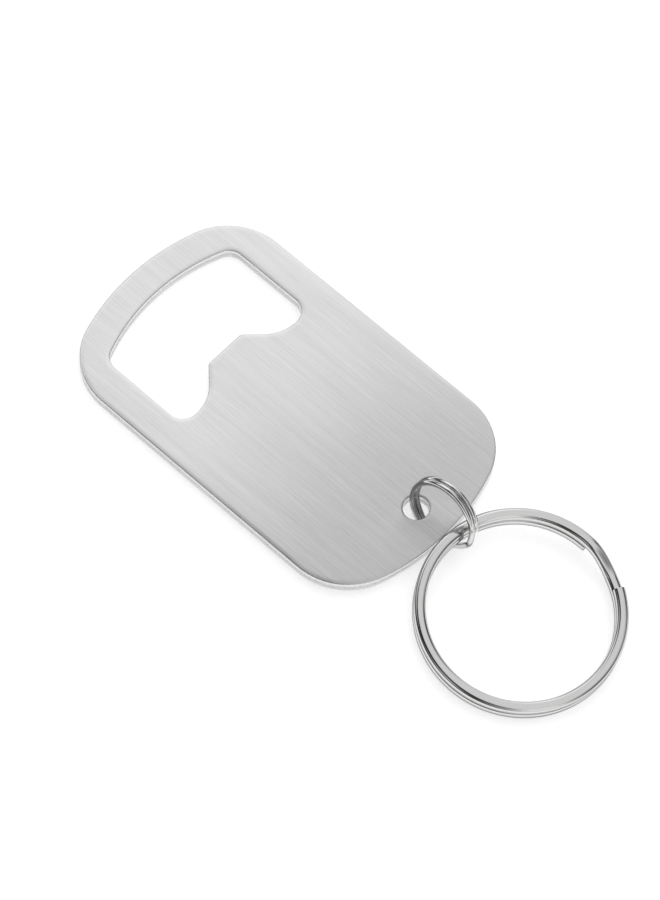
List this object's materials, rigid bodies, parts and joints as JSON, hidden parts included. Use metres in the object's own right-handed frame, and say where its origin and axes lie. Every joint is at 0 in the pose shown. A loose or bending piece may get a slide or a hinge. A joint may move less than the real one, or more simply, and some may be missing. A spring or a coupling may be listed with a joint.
{
  "type": "keychain bottle opener",
  "caption": "Flat brushed steel bottle opener for a keychain, with a toothed crown-cap cut-out, a small split ring through its end hole, and a large split ring for keys.",
  "frame": {"origin": "centre of the plate's underside", "axes": "+X along the plate from the cap cut-out to the key ring, +Y across its width, +Z out of its top face"},
  "size_m": [0.0749, 0.03, 0.01],
  "materials": {
    "brushed_steel": "hairline brushed along the length",
    "nickel_plate": "bright nickel plated"
  },
  "bodies": {
    "opener_plate": {"opener_plate": "brushed_steel"},
    "link_ring": {"link_ring": "nickel_plate"},
    "key_ring": {"key_ring": "nickel_plate"}
  },
  "joints": [
    {"name": "link_ring_swing", "type": "hinge", "parent": "opener_plate", "child": "link_ring", "pos_m": [0.0237, 0.00084, 0.00334], "axis": [-0.0136, -0.9735, 0.2284], "range_deg": [0, 90]},
    {"name": "key_ring_swing", "type": "hinge", "parent": "link_ring", "child": "key_ring", "pos_m": [0.02552, 0.00002, 0.00218], "axis": [-0.1192, -0.9918, -0.0465], "range_deg": [0, 85]}
  ]
}
